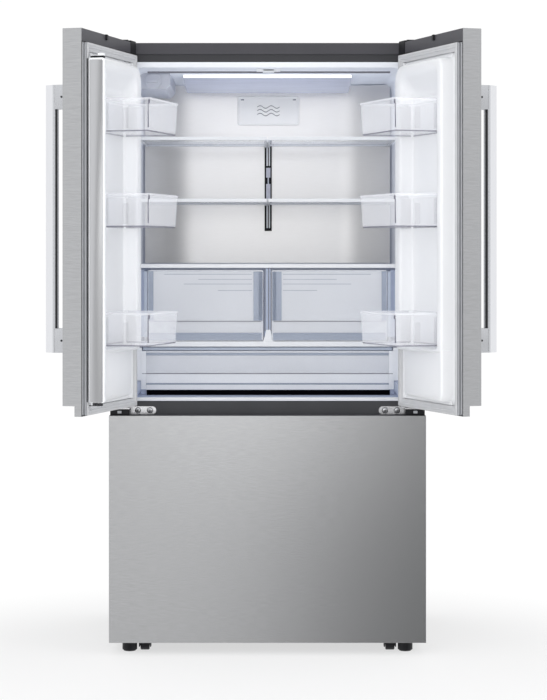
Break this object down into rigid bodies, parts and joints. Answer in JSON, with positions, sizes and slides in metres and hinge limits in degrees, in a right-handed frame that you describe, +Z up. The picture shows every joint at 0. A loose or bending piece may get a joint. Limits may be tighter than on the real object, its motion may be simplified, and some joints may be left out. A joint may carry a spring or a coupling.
{
  "type": "french door refrigerator",
  "caption": "French door refrigerator in stainless steel, doors open, with glass shelves, clear door bins, crispers, a pantry drawer and a bottom freezer drawer.",
  "frame": {"origin": "on the floor below the middle of the front: x = 0 is the cabinet's centre plane, y = 0 the outer face of the closed doors and drawer, z = 0 the floor", "axes": "+Z up, +Y into the cabinet towards its back, +X to the right for someone facing the doors"},
  "size_m": [1.2234, 1.1278, 1.765],
  "materials": {
    "stainless_steel": "satin",
    "grey_paint": "satin",
    "charcoal_paint": "satin",
    "galvanised_steel": "satin",
    "insulation_foam": "matte",
    "white_liner": "satin",
    "filled_panel": "satin",
    "white_plastic": "satin",
    "grey_trim": "satin",
    "black_plastic": "satin",
    "clear_plastic": "gloss",
    "shelf_glass": "gloss",
    "lamp_lens": "satin",
    "gasket": "matte"
  },
  "bodies": {
    "cabinet": {"cabinet_case": "grey_paint", "insulation": "insulation_foam", "fridge_liner": "white_liner", "freezer_liner": "white_liner", "rear_cover": "galvanised_steel", "base_plate": "charcoal_paint", "centre_rail": "charcoal_paint", "top_trim": "grey_trim", "back_panel": "stainless_steel", "shelf_ladder": "galvanised_steel", "air_filter_cover": "white_plastic", "filter_housing": "white_plastic", "lamp_lens": "lamp_lens", "crisper_cover": "shelf_glass", "lower_shelf": "white_plastic", "left_top_hinge": "black_plastic", "right_top_hinge": "black_plastic", "left_centre_hinge": "galvanised_steel", "right_centre_hinge": "galvanised_steel", "left_cabinet_rail": "galvanised_steel", "right_cabinet_rail": "galvanised_steel", "left_upper_shelf": "shelf_glass", "right_upper_shelf": "shelf_glass", "left_middle_shelf": "shelf_glass", "right_middle_shelf": "shelf_glass"},
    "left_door": {"left_door_skin": "stainless_steel", "left_door_panel": "filled_panel", "left_door_cap": "grey_trim", "left_door_gasket": "gasket", "left_door_handle": "stainless_steel", "left_upper_bin": "clear_plastic", "left_middle_bin": "clear_plastic", "left_lower_bin": "clear_plastic"},
    "right_door": {"right_door_skin": "stainless_steel", "right_door_panel": "filled_panel", "right_door_cap": "grey_trim", "right_door_gasket": "gasket", "right_door_handle": "stainless_steel", "right_upper_bin": "clear_plastic", "right_middle_bin": "clear_plastic", "right_lower_bin": "clear_plastic"},
    "mullion": {"mullion_body": "white_plastic", "mullion_face": "stainless_steel"},
    "left_crisper_drawer": {"left_crisper": "clear_plastic"},
    "right_crisper_drawer": {"right_crisper": "clear_plastic"},
    "pantry": {"pantry_drawer": "clear_plastic"},
    "filter": {"filter_cartridge": "white_plastic"},
    "freezer_drawer": {"drawer_skin": "stainless_steel", "drawer_panel": "filled_panel", "drawer_cap": "grey_trim", "drawer_gasket": "gasket", "freezer_basket": "white_plastic"},
    "upper_tray": {"freezer_tray": "white_plastic"},
    "left_slide": {"left_middle_rail": "galvanised_steel"},
    "right_slide": {"right_middle_rail": "galvanised_steel"},
    "left_foot": {"left_leveling_foot": "black_plastic"},
    "right_foot": {"right_leveling_foot": "black_plastic"},
    "left_roller": {"left_front_roller": "black_plastic"},
    "right_roller": {"right_front_roller": "black_plastic"},
    "rear_axle": {"rear_rollers": "black_plastic"}
  },
  "joints": [
    {"name": "left_door_hinge", "type": "hinge", "parent": "cabinet", "child": "left_door", "pos_m": [-0.42, 0.019, 1.24], "axis": [0, 0, -1], "range_deg": [-105.63, 14.37]},
    {"name": "right_door_hinge", "type": "hinge", "parent": "cabinet", "child": "right_door", "pos_m": [0.42, 0.019, 1.24], "axis": [0, 0, 1], "range_deg": [-109.27, 10.73]},
    {"name": "mullion_flip", "type": "hinge", "parent": "left_door", "child": "mullion", "pos_m": [-0.4744, -0.3832, 1.214], "axis": [0, 0, 1], "range_deg": [-90, 0]},
    {"name": "left_crisper_slide", "type": "slide", "parent": "cabinet", "child": "left_crisper_drawer", "axis": [0, -1, 0], "range_m": [0, 0.285]},
    {"name": "right_crisper_slide", "type": "slide", "parent": "cabinet", "child": "right_crisper_drawer", "axis": [0, -1, 0], "range_m": [0, 0.285]},
    {"name": "pantry_slide", "type": "slide", "parent": "cabinet", "child": "pantry", "axis": [0, -1, 0], "range_m": [0, 0.19]},
    {"name": "filter_twist", "type": "hinge", "parent": "cabinet", "child": "filter", "pos_m": [-0.34, 0.24, 1.665], "axis": [0, 1, 0], "range_deg": [0, 90]},
    {"name": "freezer_drawer_slide", "type": "slide", "parent": "cabinet", "child": "freezer_drawer", "axis": [0, -1, 0], "range_m": [0, 0.42]},
    {"name": "freezer_tray_slide", "type": "slide", "parent": "freezer_drawer", "child": "upper_tray", "axis": [0, 1, 0], "range_m": [0, 0.2]},
    {"name": "left_rail_slide", "type": "slide", "parent": "cabinet", "child": "left_slide", "axis": [0, -1, 0], "range_m": [0, 0.21]},
    {"name": "right_rail_slide", "type": "slide", "parent": "cabinet", "child": "right_slide", "axis": [0, -1, 0], "range_m": [0, 0.21]},
    {"name": "left_foot_screw", "type": "hinge", "parent": "cabinet", "child": "left_foot", "pos_m": [-0.4, 0.094, 0.02], "axis": [0, 0, 1], "continuous": true},
    {"name": "right_foot_screw", "type": "hinge", "parent": "cabinet", "child": "right_foot", "pos_m": [0.4, 0.094, 0.02], "axis": [0, 0, 1], "continuous": true},
    {"name": "left_roller_axle", "type": "hinge", "parent": "cabinet", "child": "left_roller", "pos_m": [-0.356, 0.105, 0.018], "axis": [1, 0, 0], "continuous": true},
    {"name": "right_roller_axle", "type": "hinge", "parent": "cabinet", "child": "right_roller", "pos_m": [0.356, 0.105, 0.018], "axis": [1, 0, 0], "continuous": true},
    {"name": "rear_roller_axle", "type": "hinge", "parent": "cabinet", "child": "rear_axle", "pos_m": [0, 0.69, 0.018], "axis": [1, 0, 0], "continuous": true}
  ],
  "couplings": [
    {"joint": "left_rail_slide", "follows": "freezer_drawer_slide", "ratio": 0.5},
    {"joint": "right_rail_slide", "follows": "freezer_drawer_slide", "ratio": 0.5}
  ]
}
